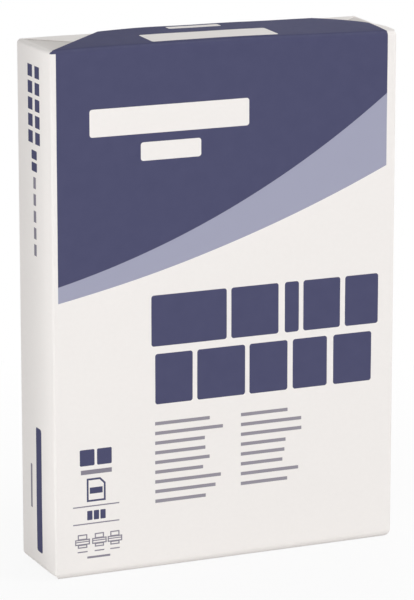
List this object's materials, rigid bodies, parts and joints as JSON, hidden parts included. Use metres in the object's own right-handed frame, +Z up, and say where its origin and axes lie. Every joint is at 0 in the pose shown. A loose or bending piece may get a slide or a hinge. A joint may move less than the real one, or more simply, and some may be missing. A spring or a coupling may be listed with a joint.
{
  "type": "ream of paper",
  "caption": "Sealed ream of A4 copier paper in a paper wrapper, a flat rectangular pack with folded ends, standing on one end.",
  "frame": {"origin": "centre of the bounding box at the level of the end that the pack stands on", "axes": "+Z up along the sheets' long side, printed front panel to -Y, +X to the right of the front panel"},
  "size_m": [0.2112, 0.0524, 0.3026],
  "materials": {
    "wrapper_paper": "satin laminated paper"
  },
  "bodies": {
    "root": {"wrapped_ream": "wrapper_paper"}
  },
  "joints": []
}
